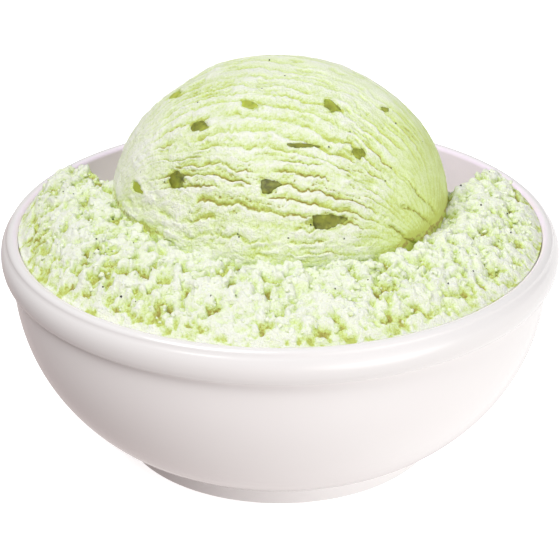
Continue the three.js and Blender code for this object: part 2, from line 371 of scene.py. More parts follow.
bowl = {
    "diameter": 115,
    "height": 47,
    "collarHeight": 6.9,
    "collarBulge": 0.5,
    "collarStep": 1.7,
    "lipInset": 1.2,
    "lipRound": 1,
    "mouthDiameter": 107.8,
    "throatDiameter": 105.2,
    "footDiameter": 67.2,
    "footHeight": 3.6,
    "footRingWidth": 4.6,
    "footEdge": 0.7,
    "footRecess": 2.2,
    "wallThickness": 3.2,
    "floorHeight": 6.8,
    "floorDiameter": 58,
    "segments": 256,
    "bodySteps": 44,
    "insideSteps": 30,
    "collarSteps": 10,
    "lipSteps": 18,
}
bodyTop = bowl["height"] - bowl["collarHeight"]
bodyRadius = bowl["diameter"] / 2 - bowl["collarBulge"] - bowl["collarStep"]
footRadius = bowl["footDiameter"] / 2
mouthRadius = bowl["mouthDiameter"] / 2
bodyPoints = np.array([
    (bodyRadius, bodyTop),
    (bodyRadius + 0.4, bodyTop * 0.48),
    (footRadius + 9, bowl["footHeight"] + 4),
    (footRadius + 0.6, bowl["footHeight"]),
])


def bodyCurve(along):
    # the wall below the collar: a cubic curve of radius and height, from the collar to the foot
    t = np.asarray(along, float)[:, None]
    a, b, c, d = bodyPoints
    return (1 - t) ** 3 * a + 3 * (1 - t) ** 2 * t * b + 3 * (1 - t) * t * t * c + t**3 * d


def bodyTangent(along):
    # the way along that curve: its slope at each point, scaled to a length of 1
    t = np.asarray(along, float)[:, None]
    a, b, c, d = bodyPoints
    way = 3 * (1 - t) ** 2 * (b - a) + 6 * (1 - t) * t * (c - b) + 3 * t * t * (d - c)
    return way / np.linalg.norm(way, axis=1, keepdims=True)


def insideCurve(along, inset):
    # the inside of the wall: the same curve, moved in along its normal
    way = bodyTangent(along)
    inward = np.stack([way[:, 1], -way[:, 0]], -1)
    return bodyCurve(along) + inward * (bowl["wallThickness"] + inset)


def throatRadius(z):
    # the hollow's radius at a height: a straight line from the throat to the mouth
    rise = (z - bodyTop) / (bowl["height"] - bowl["lipRound"] - bodyTop)
    return lerp(bowl["throatDiameter"], bowl["mouthDiameter"], rise) / 2


def roundedCorner(before, corner, after, size, steps):
    # a corner as a quadratic curve that leaves each side at the given distance from the corner
    before, corner, after = [np.array(p, float) for p in (before, corner, after)]
    start = corner + (before - corner) * size / np.linalg.norm(before - corner)
    end = corner + (after - corner) * size / np.linalg.norm(after - corner)
    t = np.linspace(0, 1, steps)[:, None]
    return (1 - t) ** 2 * start + 2 * (1 - t) * t * corner + t * t * end


def spin(profile, segments):
    # a profile of radius and height carried round +Z, clockwise from above, one ring for each point
    angle = -2 * np.pi * np.arange(segments) / segments
    radius, height = profile[:, :1], profile[:, 1:]
    flat = np.zeros((1, segments))
    return np.stack([radius * np.cos(angle), radius * np.sin(angle), height + flat], -1)


def bowlProfile():
    # foot ring, wall, bulging collar, lip and inside as one line of radius and height, from the recess
    # to the floor, its corners rounded; and the number of its point on top of the lip
    footInside = footRadius - bowl["footRingWidth"]
    recess, edge = bowl["footRecess"], bowl["footEdge"]
    outer = bowl["diameter"] / 2
    ringTop = (footRadius - 0.2, bowl["footHeight"])
    collarFoot = np.array((outer - bowl["collarBulge"], bodyTop))
    collarMiddle = np.array((outer, bowl["height"] - bowl["collarHeight"] / 2))
    lipOuter = outer - bowl["lipInset"]
    lipMiddle, lipHalf = (lipOuter + mouthRadius) / 2, (lipOuter - mouthRadius) / 2
    turn = np.linspace(0, np.pi, bowl["lipSteps"])
    lipTop = bowl["height"] + bowl["lipRound"] * (np.sin(turn) - 1)
    lip = np.stack([lipMiddle + lipHalf * np.cos(turn), lipTop], -1)
    body = bodyCurve(np.linspace(1, 0, bowl["bodySteps"]))
    throat = np.array([(bowl["throatDiameter"] / 2, bodyTop)])
    inside = insideCurve(np.linspace(0, 0.9, bowl["insideSteps"])[1:], 0)
    floorEdge = (bowl["floorDiameter"] / 2, bowl["floorHeight"])
    rise = np.linspace(0, 1, bowl["collarSteps"])[1:-1, None]
    pull = 2 * collarMiddle - (collarFoot + lip[0]) / 2
    collar = collarFoot * (1 - rise) ** 2 + lip[0] * rise**2 + 2 * rise * (1 - rise) * pull
    profile = np.concatenate([
        [(footInside * 0.5, recess)],
        roundedCorner((0, recess), (footInside - edge, recess), (footInside, 0), 0.4, 4),
        roundedCorner((footInside - edge, recess), (footInside, 0), (footRadius, 0), 0.25, 4),
        roundedCorner((footInside, 0), (footRadius, 0), ringTop, edge, 6),
        roundedCorner((footRadius, 0), ringTop, body[4], 0.5, 5),
        body[3:-1],
        roundedCorner(body[-4], body[-1], collarFoot, 0.35, 4),
        roundedCorner(body[-1], collarFoot, collarMiddle, 0.5, 5),
        collar,
        lip,
        throat,
        inside,
        [floorEdge],
    ])
    return profile, len(profile) - len(inside) - 2 - len(lip) // 2


def makeBowl():
    # the profile turned about the bowl's axis, with a mask for its inside, from the top of the lip on,
    # for a painted tint, and one for the outside of its collar, for painted shade
    profile, lipPoint = bowlProfile()
    rings = spin(profile, bowl["segments"])
    first, last = (0, 0, bowl["footRecess"]), (0, 0, bowl["floorHeight"])
    points = np.concatenate([[first], rings.reshape(-1, 3), [last]])
    faces = netFaces(len(profile), bowl["segments"])
    # mask for the painted violet tint inside
    isInside = smooth(np.arange(len(profile)), lipPoint - 2, lipPoint + 5)
    isInside = np.concatenate([[0], np.repeat(isInside, bowl["segments"]), [1]])
    # mask for the painted shade on the collar
    onCollar = smooth(points[:, 2], bodyTop - 0.2, bodyTop + 0.6) * (1 - isInside)
    piece = makeMesh("bowl_body", points, faces, glaze, {"inside": isInside, "collar": onCollar})
    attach(piece, "root")
    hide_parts("bowl")


makeBowl()

ball = {
    "centre": (0, 0, 52),
    "radius": 35.1,
    "rise": 29.9,
    "drop": 26.5,
    "leftPole": (-34, -6, 2),
    "rightPole": (29, -20, -1),
    "layerAngle": np.radians(7.05),
    "lowestLayer": np.radians(-18),
    "layerCount": 30,
    "layerWobble": 1.1,
    "frontLayers": 17,
    "steps": 20,
    "stepLength": 5,
    "columns": 272,
    "hiddenRows": 10,
    "dentDepth": 0.9,
    "dentSize": 11,
    "dentSeed": 23,
    "grainSize": 0.95,
    "lumpSize": 2.4,
    "bedLine": 3.1,
    "bedTilt": 1.35,
    "bedLineWidth": 1.2,
}
# across a crack or tear, in layers: the width of its slit, of the recess over and under it, and of
# the crest under it, and how deep each goes
crackShape = {
    "depth": 0.75,
    "slit": {"over": 0.08, "under": 0.06, "share": 0.25},
    "recess": {"over": 0.3, "under": 0.07, "share": 0.5},
    "crest": {"at": 0.2, "width": 0.13, "share": 0.14},
}
tearShape = {
    "slit": {"width": 0.06, "depth": 0.1},
    "recess": {"over": 0.22, "under": 0.06, "depth": 0.3},
}
# where the rows of one layer lie between its crack and the next: closer together at the cracks
layerParts = np.array([0, 0.045, 0.09, 0.145, 0.21, 0.29, 0.39, 0.5, 0.61, 0.72, 0.81, 0.875, 0.92, 0.96])
backParts = np.array([0, 0.07, 0.15, 0.27, 0.42, 0.58, 0.73, 0.86, 0.95])
ballCentre = np.array(ball["centre"], float)
leftPole, rightPole = np.array(ball["leftPole"], float), np.array(ball["rightPole"], float)
poleLine = (rightPole - leftPole) / np.linalg.norm(rightPole - leftPole)
fanCentre = (leftPole + rightPole) / 2
fanFront = -np.cross((0, 0, 1), poleLine)
fanFront = fanFront / np.linalg.norm(fanFront)
fanUp = np.cross(fanFront, poleLine)


def alongRay(ray, depth):
    # where a ray from the fan's centre leaves an ellipsoid of the ball's radius and this depth
    size = np.array([ball["radius"], ball["radius"], depth])
    step, start = ray / size, fanCentre / size
    a = np.sum(step * step, -1)
    b = np.sum(step * start, -1)
    c = np.sum(start * start) - 1
    return fanCentre + ray * ((np.sqrt(b * b - a * c) - b) / a)[..., None]


def formPoint(turn, fromLeft):
    # a point of the smooth form: turned round the line of poles from the front, and out from the
    # left pole
    out = np.cos(turn)[..., None] * fanFront + np.sin(turn)[..., None] * fanUp
    ray = -np.cos(fromLeft)[..., None] * poleLine + np.sin(fromLeft)[..., None] * out
    above = alongRay(ray, ball["rise"])
    return np.where(above[..., 2:] >= 0, above, alongRay(ray, ball["drop"]))


def formNormal(point):
    # the way out of that ellipsoid: each coordinate over its half width squared, scaled to 1
    depth = np.where(point[..., 2] >= 0, ball["rise"], ball["drop"])
    square = np.stack([0 * depth + ball["radius"] ** 2, 0 * depth + ball["radius"] ** 2, depth**2], -1)
    normal = point / square
    return normal / np.linalg.norm(normal, axis=-1, keepdims=True)


def onBall(across, rise):
    # a point of the smooth form by its directions: round from the front, and up, in degrees
    across, rise = np.radians(across), np.radians(rise)
    return np.array([
        ball["radius"] * np.cos(rise) * np.sin(across),
        -ball["radius"] * np.cos(rise) * np.cos(across),
        ball["rise"] * np.sin(rise),
    ])


def dentAt(point):
    # how deep the broad dents are: soft noise of their size
    x, y, z = np.moveaxis(point, -1, 0) / ball["dentSize"]
    return ball["dentDepth"] * softNoise(x, y, z, ball["dentSeed"])


# sliced green bits: where each lies, round from the front and up the ball, its length, width and turn,
# how light its flesh is, and how much of its upper half (or below zero, its lower half) is cut off
bitKeys = ("round", "up", "length", "width", "turn", "light", "cut")
bits = [dict(zip(bitKeys, values)) for values in (
    (17, 20.5, 6.6, 4.6, -6, 0.05, 0.65),
    (-4, 34, 4.2, 2.7, 12, -0.2, 0),
    (-42, 30, 4.8, 3.7, -60, 0.1, 0.2),
    (-61, 20, 5.4, 2.0, 4, 0.8, 0),
    (-46, 51, 4.2, 3.4, 20, 0.3, -0.4),
    (-25, 66, 3.8, 1.9, 0, 0.8, 0),
    (-93, 52, 3.4, 3.0, 30, 0.7, 0),
    (39, 63, 4.4, 3.2, 80, 0.4, 0.2),
    (76, 51, 2.8, 1.7, -20, 0.5, 0),
    (37, 42, 2.8, 2.6, 0, 0.3, 0),
    (12, 49, 6.4, 1.4, -10, 0, 0.4),
    (128, 40, 4.2, 2.8, 25, 0.4, 0.3),
    (165, 24, 3.2, 2.5, -35, 0.2, 0),
    (-150, 47, 4.8, 3.6, -15, 0.5, 0.5),
)]
# a slice's section: how far out each ring lies, as a share of the outline, how high, and how dark its
# painted edge shade is
bitShape = {
    "taper": 0.38,
    "thickness": 2.0,
    "face": -0.3,
    "wavy": 0.45,
    "sides": 28,
    "section": ((0.35, 0, 0.1), (0.7, -0.02, 0.4), (1.0, -0.06, 0.9), (1.12, -0.3, 1), (1.0, -1.2, 1)),
    "nearby": 6,
    "farAway": 9,
    "holeDepth": 0.7,
}

# smooth folds pressed into the ball low at its right: points of each fold, round and up in degrees
folds = [
    [(44, 19.5), (47, 18), (52.5, 14), (56.5, 9.6), (63, 2.5)],
    [(35, 15.8), (40.5, 12.2), (45.7, 6), (51, 0)],
    [(50, 31), (54.6, 25.4), (56.2, 19.5), (61, 13.5), (64, 8)],
]
foldShape = {"depth": 0.45, "width": 0.28, "swell": 0.35, "swellAt": 1.8, "swellWidth": 2.4, "fade": 0.35}


def bitFrame(bit):
    # where a bit lies on the ball, and the ways to its right, up the ball and out of it
    place = onBall(bit["round"], bit["up"])
    outward = formNormal(place)
    right = np.cross((0, 0, 1), outward)
    right = right / np.linalg.norm(right)
    upward = np.cross(outward, right)
    turn = np.radians(bit["turn"])
    along = np.cos(turn) * right + np.sin(turn) * upward
    across = -np.sin(turn) * right + np.cos(turn) * upward
    return place - outward * dentAt(place), along, across, outward


def bitWave(angle, number):
    # a slice's outline isn't quite round: noise on a circle
    x, y = np.cos(angle), np.sin(angle)
    noise = softNoise(x * 1.3 + 3, y * 1.3 + 3, 2 * number, 51)
    nick = softNoise(x * 2.6 + 6, y * 2.6 + 6, 2 * number, 53)
    return 1 + bitShape["wavy"] * (noise + 0.35 * nick - 0.68)


def bitCut(bit, across):
    # what is left of a slice's width above its middle line, and below it
    return 1 - np.where(across > 0, max(bit["cut"], 0), max(-bit["cut"], 0))


def bitReach(bit, number, points):
    # how far out of a bit's middle the points lie, with 1 on its outline
    place, along, across, outward = bitFrame(bit)
    away = points - place
    u = away @ along / (bit["length"] / 2)
    v = away @ across / (bit["width"] / 2)
    v = v / np.maximum(1 - bitShape["taper"] * np.clip(u, -1, 1), 0.3) / bitCut(bit, v)
    reach = np.sqrt(u * u + v * v) / bitWave(np.arctan2(v, u), number)
    return np.where(np.abs(away @ outward) < bitShape["nearby"], reach, bitShape["farAway"])


def foldRelief(form):
    # how deep and how near the folds are: the distance to each fold's line, with a groove on it and a
    # soft swelling beside it
    groove, swell = np.zeros(form.shape[:-1]), np.zeros(form.shape[:-1])
    for fold in folds:
        line = np.array([onBall(*point) for point in fold])
        nearest = np.full(form.shape[:-1], 99.0)
        along = np.zeros(form.shape[:-1])
        for number, (a, b) in enumerate(zip(line[:-1], line[1:])):
            share = np.clip((form - a) @ (b - a) / ((b - a) @ (b - a)), 0, 1)
            distance = np.linalg.norm(form - a - share[..., None] * (b - a), axis=-1)
            nearer = distance < nearest
            nearest = np.where(nearer, distance, nearest)
            along = np.where(nearer, (number + share) / (len(line) - 1), along)
        fade = smooth(along, 0, foldShape["fade"])
        groove = np.maximum(groove, fade * bell(nearest, foldShape["width"]))
        beside = bell(nearest - foldShape["swellAt"], foldShape["swellWidth"])
        swell = np.maximum(swell, fade * beside)
    return groove, swell


def layerRows():
    # the rows of the ball's net, counted in layers: more to a layer at the front than at the back, and
    # a few round the underside
    front = np.arange(ball["frontLayers"])[:, None]
    back = np.arange(ball["frontLayers"], ball["layerCount"])[:, None]
    lastTurn = ball["lowestLayer"] + ball["layerAngle"] * ball["layerCount"]
    share = np.arange(ball["hiddenRows"]) / ball["hiddenRows"]
    hidden = lerp(lastTurn, 2 * np.pi + ball["lowestLayer"], share)
    hidden = (hidden - ball["lowestLayer"]) / ball["layerAngle"]
    return np.concatenate([(front + layerParts).ravel(), (back + backParts).ravel(), hidden])[None, :]


def ballNet():
    # rows follow the layers from pole to pole and waver by soft noise. Each point gets its place on
    # the smooth form, its grain and lumps (rough noise, wider than high), and how ragged a crack is
    row = layerRows()
    step = (np.arange(1, ball["columns"]) / ball["columns"] * ball["steps"])[:, None]
    arc = step * ball["stepLength"]
    middle = ball["layerCount"] / 2
    shown = smooth(middle - np.abs(row - middle), 0, 1.5)
    wobble = ball["layerWobble"] * (softNoise(step * 0.3, row * 0.4, 0, 22) - 0.5)
    wobble = wobble + 0.55 * (softNoise(arc / 6.5, row * 0.35, 0, 33) - 0.5)
    wobble = wobble + 0.35 * (softNoise(arc / 2.6, row * 0.7, 0, 37) - 0.5)
    turn = ball["lowestLayer"] + ball["layerAngle"] * (row + wobble * shown)
    fromLeft = np.pi * step / ball["steps"] + 0 * row
    form = formPoint(turn, fromLeft)
    grain = roughNoise(form * np.array([0.85, 1, 1.4]), ball["grainSize"], 2, 41)
    lumps = roughNoise(form * np.array([0.55, 0.8, 1.4]), ball["lumpSize"], 3, 43)
    ragged = 0.2 * (softNoise(arc / 0.8, np.round(row), 0, 31) - 0.5) + 0.16 * (grain - 0.5)
    return SimpleNamespace(row=row, step=step, arc=arc, shown=shown, fromLeft=fromLeft, form=form,
                           grain=grain, lumps=lumps, ragged=ragged)


def ballZones(net):
    # where the ball's surface changes: S curves, from 0 to 1, of the distance in a direction
    form = net.form
    x, z = form[..., 0], form[..., 2]
    high = smooth(z, 15, 27)
    low = smooth(-z, -7, -1)
    left = smooth(-x, 18, 30)
    right = smooth(form @ np.array([0.9, -0.2, 0.1]), 19, 30)
    lowRight = smooth(form @ np.array([0.8, -0.35, -0.5]), 21, 30)
    crumbly = smooth(form @ np.array([-0.7, -0.55, -0.5]), 20, 30)
    shallow = smooth(np.sin(net.fromLeft), 0.3, 0.8) * net.shown * lerp(0.35, 1, smooth(z, 0, 9))
    front = smooth(form @ np.array([-0.42, -0.82, 0.4]), 2, 20) * (1 - 0.7 * lowRight) * (1 - 0.4 * right)
    front = front * (1 - 0.6 * left * smooth(z, 0, 8))
    # towards the bed, left of the middle, the cracks are closed and paler
    closed = smooth(-z, -15, -6) * (1 - smooth(x, 2, 13))
    return SimpleNamespace(high=high, low=low, left=left, right=right, lowRight=lowRight,
                           crumbly=crumbly, shallow=shallow, front=front, closed=closed)


def longCracks(net, zone):
    # how far each point is above the nearest crack, as a share of a layer, gives a slit, a recess and a
    # crest, each a bell curve; soft noise along the crack opens and shuts it, and makes its painted shade
    # darker in parts
    phase = net.row + net.ragged
    crack = np.round(phase)
    offset = phase - crack
    depth = 0.75 + 0.25 * smooth(softNoise(net.step * 0.45, crack * 0.8, 0, 21), 0.3, 0.65)
    torn = smooth(softNoise(net.arc / 7.5, crack * 5.3, 0, 34), 0.28, 0.43)
    opened = depth * torn * zone.shallow * lerp(1, 0.5, zone.high)
    opened = opened * (1 - 0.85 * zone.lowRight) * (1 - 0.4 * zone.right)
    opened = opened * (1 - 0.7 * zone.left) * (1 - 0.85 * zone.crumbly) * (1 - 0.4 * zone.low)
    opened = opened * (1 - 0.4 * zone.closed)
    slit = unevenBell(offset, crackShape["slit"])
    recess = unevenBell(offset, crackShape["recess"])
    crest = bell(offset + crackShape["crest"]["at"], crackShape["crest"]["width"])
    dark = smooth(softNoise(net.arc / 5, crack * 3.7, 4, 38), 0.15, 0.45)
    return SimpleNamespace(opened=opened, slit=slit, recess=recess, crest=crest, dark=dark)


def shortTears(net, zone):
    # shorter, shallower tears halfway between the cracks, shaped in the same way
    half = np.floor(net.row + 0.7 * net.ragged) + 0.5
    offset = net.row + 1.3 * net.ragged - half
    torn = smooth(softNoise(net.arc / 4.2, half * 6.1, 2, 35), 0.48, 0.66)
    torn = torn * zone.shallow * (1 - zone.lowRight)
    torn = torn * (1 - 0.7 * zone.crumbly) * (1 - 0.6 * zone.low)
    slit = bell(offset, tearShape["slit"]["width"])
    recess = unevenBell(offset, tearShape["recess"])
    return SimpleNamespace(torn=torn, slit=slit, recess=recess)


def sinkUnderBits(points, lime, grain):
    # the ice cream under each bit is pressed below its face, and painted shade makes it greener round its
    # edge
    for number, bit in enumerate(bits):
        reach = bitReach(bit, number, points) + 0.4 * (grain - 0.5)
        hole = 1 - smooth(reach, 0.84, 1.0)
        place, _, _, outward = bitFrame(bit)
        level = (points - place) @ outward
        points = points - outward * (hole * np.maximum(level + bitShape["holeDepth"], 0))[..., None]
        # painted shade: greener round the bit's edge
        lime = lime + 0.4 * bell(reach - 1.05, 0.2)
    return points, lime


def makeBall():
    # each point is sunk below the smooth form, along its normal, by the cracks, tears and grains of
    # the torn ice cream
    net = ballNet()
    form, grain, lumps = net.form, net.grain, net.lumps
    zone = ballZones(net)
    front, crumbly, right = zone.front, zone.crumbly, zone.right
    long, short = longCracks(net, zone), shortTears(net, zone)
    slit, recess, crest = [crackShape[part]["share"] for part in ("slit", "recess", "crest")]
    across = slit * long.slit + recess * long.recess - crest * long.crest
    sink = crackShape["depth"] * long.opened * across
    slit, recess = tearShape["slit"]["depth"], tearShape["recess"]["depth"]
    sink = sink + short.torn * (slit * short.slit + recess * short.recess)
    sink = sink + (lerp(0.16, 0.4, front) + 0.12 * crumbly) * net.shown * (0.65 - grain)
    sink = sink + (lerp(0.3, 0.8, front) + 0.7 * crumbly) * net.shown * (0.55 - lumps)
    groove, swell = foldRelief(form + (0.6 * (grain - 0.5))[..., None])
    sink = sink + foldShape["depth"] * groove - foldShape["swell"] * swell

    # where the ball meets the bed at its sides, painted contact shade makes it greener along the line
    height = form[..., 2] - ball["bedLine"] + ball["bedTilt"] * form[..., 0] / ball["radius"]
    contactShade = smooth(np.abs(form[..., 0]), 16, 25) * bell(height, ball["bedLineWidth"])

    # painted shade: limier where the grain and lumps are low, in the sunk hollows
    lime = 0.23 + 0.5 * (0.5 - grain) * front + 0.7 * (0.5 - lumps) * lerp(0.4, 1, front)
    # painted shade: limier in the recess over each crack
    lime = lime + long.recess * (0.2 + 0.7 * long.opened) * lerp(0.6, 1, front)
    # painted highlight: paler on the crest under each crack; painted shade in the recess of each tear
    lime = lime - 0.35 * long.crest * long.opened + 0.5 * short.torn * short.recess
    # painted light: paler on the left, greener at the right and low right, as if lit from the upper left;
    # painted shade in the fold grooves and along the contact line
    lime = lime + 0.4 * right - 0.1 * zone.left + 0.2 * zone.lowRight + 0.3 * groove + 0.3 * contactShade
    # painted shade: greener low on the ball
    lime = lime + 0.25 * zone.low * (1 - crumbly)
    # limier on the lower left, most in the lumps' hollows, where it is painted shade
    lime = lime + (0.14 + 0.9 * (0.5 - lumps)) * crumbly
    # painted shade: olive in open crack slits, fold grooves, tear slits and along the contact line at the
    # right, less high up and where the cracks are closed
    pale = (1 - zone.high) * (1 - 0.8 * zone.closed)
    pit = smooth(long.slit * long.opened, 0.12, 0.5) * pale * lerp(0.6, 1, long.dark)
    pit = np.maximum(pit, 0.85 * smooth(groove, 0.4, 0.95) * lerp(0.5, 1, grain))
    pit = np.maximum(pit, 0.7 * smooth(short.slit * short.torn, 0.4, 0.8) * pale)
    pit = np.maximum(pit, lerp(0.5, 0.9, right) * smooth(contactShade, 0.5, 0.9) * smooth(grain, 0.35, 0.55))

    sunk = smooth(form[..., 2], -16, -8) * (sink + dentAt(form))
    points, lime = sinkUnderBits(form - formNormal(form) * sunk[..., None], lime, grain)
    poles = formPoint(np.zeros(2), np.array([0, np.pi]))
    poles = poles - formNormal(poles) * dentAt(poles)[:, None]
    points = np.concatenate([poles[:1], points.reshape(-1, 3), poles[1:]]) + ballCentre
    lime = np.concatenate([[0.4], np.clip(lime, 0, 1.2).ravel(), [0.4]])
    pit = np.concatenate([[0], np.clip(pit, 0, 1).ravel(), [0]])
    grit = np.concatenate([[0.5], lerp(0.4, 1, front).ravel(), [0.5]])
    faces = netFaces(ball["columns"] - 1, net.row.shape[1])
    tints = {"lime": lime, "pit": pit, "grit": grit}
    piece = makeMesh("ball_of_ice_cream", points, faces, iceCream, tints)
    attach(piece, "root")
    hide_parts("scoop_ball")


makeBall()


def makeBits():
    # each bit is a flat slice with a soft edge on a tapered outline, closed by a blunt point inside
    # the ball, whose torn surface covers its edge
    points, faces, edges, ages = [], [], [], []
    start = 0
    sides, section = bitShape["sides"], bitShape["section"]
    angle = 2 * np.pi * np.arange(sides) / sides
    for number, bit in enumerate(bits):
        place, along, across, outward = bitFrame(bit)
        wavy = bitWave(angle, number)
        u = bit["length"] / 2 * np.cos(angle) * wavy
        v = bit["width"] / 2 * (1 - bitShape["taper"] * np.cos(angle)) * np.sin(angle) * wavy
        v = v * bitCut(bit, v)
        grid = []
        for share, height, _ in section:
            level = bitShape["face"] + height
            grid.append(place + share * (u[:, None] * along + v[:, None] * across) + level * outward)
        top = place + bitShape["face"] * outward
        bottom = place - bitShape["thickness"] * outward
        own = np.concatenate([[top], np.concatenate(grid), [bottom]]) + ballCentre
        points.append(own)
        faces.append([f + start for f in netFaces(len(section), sides)])
        # painted shade along each slice's edge, strongest on its upper side
        rim = np.array(section)[:, 2:] * lerp(0.3, 1, (1 + np.sin(angle)) / 2)
        edges.append(np.concatenate([[0], rim.ravel(), [1]]))
        ages.append(np.full(len(own), bit["light"]))
        start += len(own)
    joined = [np.concatenate(kind) for kind in zip(*faces)]
    tints = {"edge": np.concatenate(edges), "age": np.concatenate(ages)}
    piece = makeMesh("green_bits", np.concatenate(points), joined, bitSkin, tints)
    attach(piece, "root")


makeBits()

bed = {
    "innerRadius": 34,
    "atBall": 6.9,
    "leftRise": 1.35,
    "atWall": -0.3,
    "crown": 2.5,
    "behind": -9.5,
    "hollowSide": 35.5,
    "hollowBack": 3,
    "hollowSlope": 1.25,
    "hollowCurl": 10,
    "hollowReach": 11,
    "hollowBank": 8,
    "clumpSize": 6.5,
    "clumpRise": 2.8,
    "crumbSize": 3.1,
    "crumbRise": 1.3,
    "clumpMean": 0.78,
    "clumpSeed": 11,
    "crumbSeed": 12,
    "pitFill": 0.27,
    "gap": 0.05,
    "ballGap": 0.5,
    "mouthGap": 0.5,
    "columns": 960,
    "rows": 86,
}
mounds = [
    {"x": -47, "y": 10, "rise": 1, "spread": 6},
    {"x": 46, "y": 11, "rise": 1.4, "spread": 6},
]
bedOuter = mouthRadius - bed["mouthGap"]


def hollowShare(x, y):
    # 1 in the low hollow behind the ball, 0 at the front and sides
    side = np.maximum(np.abs(x) - bed["hollowSide"], 0)
    curl = bed["hollowCurl"] * (side / bed["hollowReach"]) ** 4
    edge = bed["hollowBack"] + bed["hollowSlope"] * side + curl
    return smooth(y - edge, 0, bed["hollowBank"])


def bedRoughness(x, y):
    # how rough the top is: less towards the wall, by an S curve of the way out to it
    out = (np.hypot(x, y) - bed["innerRadius"]) / (bedOuter - bed["innerRadius"])
    return 1 - 0.65 * smooth(out, 0.75, 1)


def bedClumps(x, y):
    # the bed's large clumps and its smaller ones: 1 on their crowns, 0 in the pits between
    clump = clumps(x / bed["clumpSize"], y / bed["clumpSize"], bed["clumpSeed"])
    crumb = clumps(x / bed["crumbSize"], y / bed["crumbSize"], bed["crumbSeed"])
    return clump, crumb


def bedHeight(x, y):
    # the bed's top falls in a convex curve from the ball to the wall, carries two mounds and drops
    # behind the ball: its height with the clumps, and without them
    radius = np.hypot(x, y)
    side = x / np.maximum(radius, 1)
    atBall = bed["atBall"] - bed["leftRise"] * side
    out = np.clip((radius - bed["innerRadius"]) / (bedOuter - bed["innerRadius"]), 0, 1)
    height = bed["atWall"] + (atBall - bed["atWall"]) * (1 - out ** bed["crown"])
    for mound in mounds:
        distance = np.hypot(x - mound["x"], y - mound["y"]) / mound["spread"]
        height = height + mound["rise"] * np.exp(-distance * distance / 2)
    level = bowl["height"] + lerp(height, bed["behind"], hollowShare(x, y))
    clump, crumb = [lerp(bed["pitFill"], 1, size) for size in bedClumps(x, y)]
    relief = bed["clumpRise"] * (clump - bed["clumpMean"]) + bed["crumbRise"] * (crumb - bed["clumpMean"])
    return level + bedRoughness(x, y) * relief, level


crumbShape = {
    "heapSize": 2.3,
    "grainSize": 1.15,
    "shiftSize": 1.3,
    "lift": 0.3,
    "hollowDepth": 0.75,
    "nookDepth": 0.45,
    "grainRise": 1.1,
}


def crumbRelief(x, y, level):
    # snow-like heaps: rough noise whose low parts are cut out as ragged pits, twice: a height, a
    # sideways shift, and how deep in a pit each point is
    plane = np.stack([x, y, level], -1)
    crumb = roughNoise(plane, crumbShape["grainSize"], 2, 62)
    hollow = 1 - smooth(roughNoise(plane, crumbShape["heapSize"], 4, 61), 0.36, 0.52)
    nook = 1 - smooth(crumb, 0.32, 0.52)
    height = crumbShape["lift"] - crumbShape["hollowDepth"] * hollow - crumbShape["nookDepth"] * nook
    height = height + crumbShape["grainRise"] * (crumb - 0.5)
    shiftX, shiftY = [roughNoise(plane, crumbShape["shiftSize"], 2, seed) - 0.5 for seed in (64, 66)]
    return height, shiftX, shiftY, 0.6 * hollow + 0.5 * nook


def wallContact(angle):
    # where the bed's top meets the wall in one direction, found in four passes
    radius = np.full(angle.shape, bedOuter)
    height = np.full(angle.shape, float(bowl["height"]))
    for _ in range(4):
        height, _ = bedHeight(radius * np.cos(angle), radius * np.sin(angle))
        height = np.minimum(height, bowl["height"] - bowl["lipRound"] / 2)
        radius = np.minimum(throatRadius(height), mouthRadius) - bed["gap"]
    return radius, height


def ringAt(angle, radius, height):
    # a ring of points at a radius and a height, one in each direction
    return np.stack([radius * np.cos(angle), radius * np.sin(angle), height + 0 * angle], -1)


def underBall(radius):
    # height of the hollow that the ball sits in: an ellipse, a gap wider and deeper than the ball
    share = radius / (ball["radius"] + bed["ballGap"])
    return ballCentre[2] - (ball["drop"] + bed["ballGap"]) * np.sqrt(1 - share**2)


def bedTop(angle, inner):
    # the crumbly top, in rows from the ball out to the wall, where it comes down to meet the glaze:
    # its points, and painted shade by the depth of its pits: how lime they are, and how brown in the
    # deepest
    edgeRadius, edgeHeight = wallContact(angle)
    out = np.linspace(0, 1, bed["rows"])[:, None]
    radius = lerp(inner, edgeRadius, out)
    x, y = radius * np.cos(angle), radius * np.sin(angle)
    coarse, level = bedHeight(x, y)
    fine, shiftX, shiftY, pit = crumbRelief(x, y, level)
    calm = bedRoughness(x, y) * smooth(1 - out, 0, 0.03)
    z = lerp(coarse + calm * fine, edgeHeight, smooth(out, 0.93, 1.0))
    clump, crumb = bedClumps(x, y)
    # painted shade: lime in the pits between clumps and crumbs, brown in the deepest, less brown near the
    # wall
    deep = (1 - clump) * 0.4 + (1 - crumb) * 0.4 + pit
    lime = np.clip(0.9 * deep - 0.1, 0, 1.2)
    brown = smooth(deep, 1.0, 1.45) * (1 - smooth(out, 0.85, 1))
    return np.stack([x + shiftX * calm, y + shiftY * calm, z], -1), lime, brown


